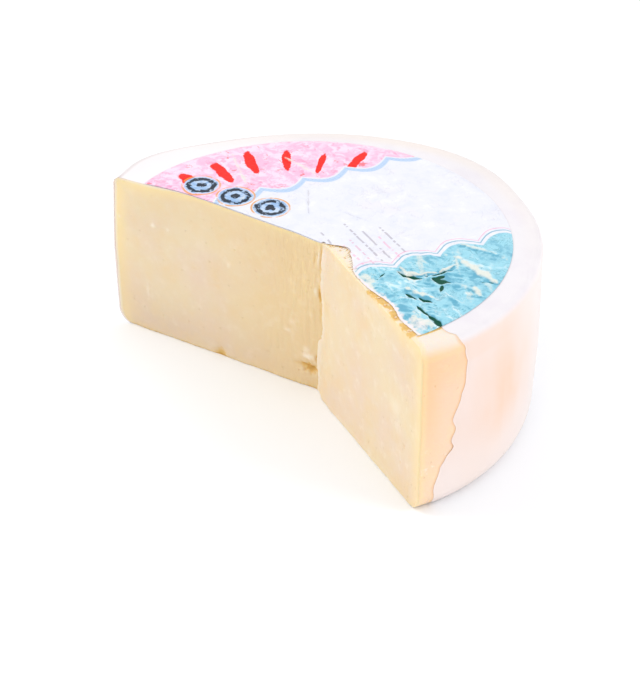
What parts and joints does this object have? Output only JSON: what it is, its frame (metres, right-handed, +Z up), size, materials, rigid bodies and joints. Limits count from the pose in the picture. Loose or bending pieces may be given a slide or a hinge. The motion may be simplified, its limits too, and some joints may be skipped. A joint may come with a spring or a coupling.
{
  "type": "block of kasseri",
  "caption": "Cut wheel of semi-hard kasseri cheese with a wide wedge missing, in clear film peeled back beside one cut, with a round paper label.",
  "frame": {"origin": "middle of the base of the whole part's box, on the surface that it stands on", "axes": "+Z up, square to the base; the missing wedge opens towards -Y and -X; the outer rim bulges towards +X and +Y"},
  "size_m": [0.2436, 0.2378, 0.1045],
  "materials": {
    "cheese": "moist, close-grained cut paste with a yellow rind",
    "film": "glossy, tight, slightly milky film over the rind",
    "label": "coated paper, crumpled, with fields of pale colour"
  },
  "bodies": {
    "root": {"cheese": "cheese", "film": "film", "label": "label"}
  },
  "joints": []
}
